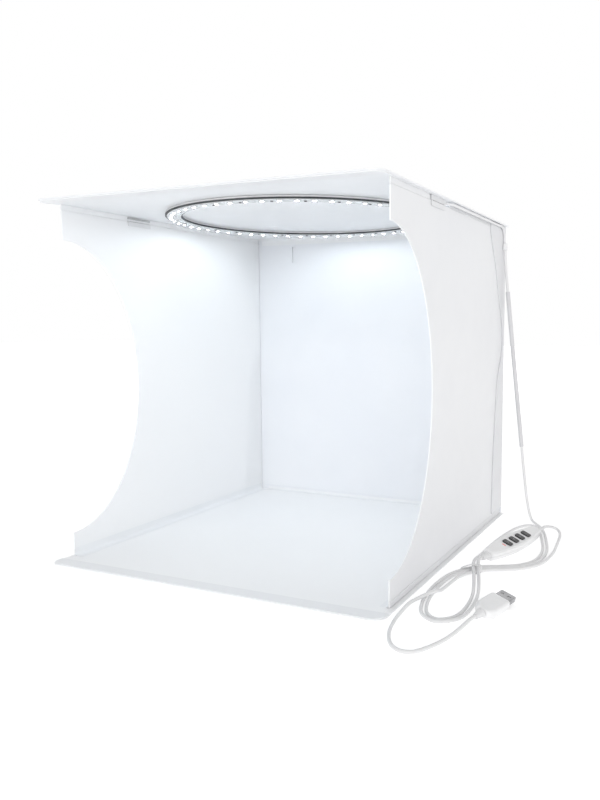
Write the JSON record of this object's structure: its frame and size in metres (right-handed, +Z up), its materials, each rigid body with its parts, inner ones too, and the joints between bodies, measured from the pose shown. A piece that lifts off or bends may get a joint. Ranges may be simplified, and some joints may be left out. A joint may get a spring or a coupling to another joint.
{
  "type": "folding light tent cube",
  "caption": "Folding open-front light tent of white translucent sheet with a ring light under its top, an inline dimmer and a USB lead.",
  "frame": {"origin": "on the surface it stands on, under the middle of the box without its free lead", "axes": "+Z up, the open front faces -Y, the lead lies on the +X side"},
  "size_m": [0.3807, 0.364, 0.3],
  "materials": {
    "sheet": "translucent white polypropylene sheet, fine satin",
    "hem": "same sheet, double layer",
    "keeper": "plated",
    "magnet": "ferrite black",
    "tape": "foam tape",
    "ring": "white solder mask",
    "led": "silicone over phosphor",
    "cord": "satin soft jacket",
    "moulding": "fine satin",
    "circuit": "solder mask",
    "button": "satin",
    "indicator": "clear red",
    "tongue": "moulded",
    "shell": "nickel plate",
    "contact": "gold flash"
  },
  "bodies": {
    "floor": {"floor_panel": "sheet", "floor_hem": "hem", "lead_cord": "cord", "lead_sleeve": "cord", "cord_tie": "moulding", "controller_base": "moulding", "controller_cover": "moulding", "controller_board": "circuit", "controller_indicator": "indicator", "controller_relief_in": "cord", "controller_relief_out": "cord", "switch_power": "button", "switch_colour": "button", "switch_brighter": "button", "switch_dimmer": "button", "usb_cord": "cord", "plug_relief": "cord", "plug_body": "moulding", "plug_shell": "shell", "plug_tongue": "tongue", "plug_contact_1": "contact", "plug_contact_2": "contact", "plug_contact_3": "contact", "plug_contact_4": "contact"},
    "left_side": {"left_panel": "sheet", "left_keeper": "keeper"},
    "right_side": {"right_panel": "sheet", "right_keeper": "keeper"},
    "back": {"back_panel": "sheet", "rear_flap": "sheet", "cord_clip": "cord"},
    "top": {"top_panel": "sheet", "top_hem": "hem", "left_magnet": "magnet", "right_magnet": "magnet", "ring_tape": "tape", "ring_board": "ring", "ring_leds": "led", "ring_terminal": "cord", "lead_wire": "cord"},
    "power_key": {"button_power": "button"},
    "colour_key": {"button_colour": "button"},
    "brighter_key": {"button_brighter": "button"},
    "dimmer_key": {"button_dimmer": "button"}
  },
  "joints": [
    {"name": "left_side_fold", "type": "hinge", "parent": "floor", "child": "left_side", "pos_m": [-0.1468, 0, 0.003], "axis": [0, 1, 0], "range_deg": [0, 90]},
    {"name": "right_side_fold", "type": "hinge", "parent": "floor", "child": "right_side", "pos_m": [0.1468, 0, 0.0054], "axis": [0, -1, 0], "range_deg": [0, 90]},
    {"name": "back_fold", "type": "hinge", "parent": "floor", "child": "back", "pos_m": [0, 0.16135, 0.0022], "axis": [-1, 0, 0], "range_deg": [0, 90]},
    {"name": "top_open", "type": "hinge", "parent": "back", "child": "top", "pos_m": [0, 0.16135, 0.2988], "axis": [-1, 0, 0], "range_deg": [0, 90]},
    {"name": "power_press", "type": "slide", "parent": "floor", "child": "power_key", "axis": [-0.3326, 0.0798, -0.9397], "range_m": [0, 0.0005], "stiffness_N_per_m": 800, "springref_m": -0.0005},
    {"name": "colour_press", "type": "slide", "parent": "floor", "child": "colour_key", "axis": [-0.3326, 0.0798, -0.9397], "range_m": [0, 0.0005], "stiffness_N_per_m": 800, "springref_m": -0.0005},
    {"name": "brighter_press", "type": "slide", "parent": "floor", "child": "brighter_key", "axis": [-0.3326, 0.0798, -0.9397], "range_m": [0, 0.0005], "stiffness_N_per_m": 800, "springref_m": -0.0005},
    {"name": "dimmer_press", "type": "slide", "parent": "floor", "child": "dimmer_key", "axis": [-0.3326, 0.0798, -0.9397], "range_m": [0, 0.0005], "stiffness_N_per_m": 800, "springref_m": -0.0005}
  ]
}
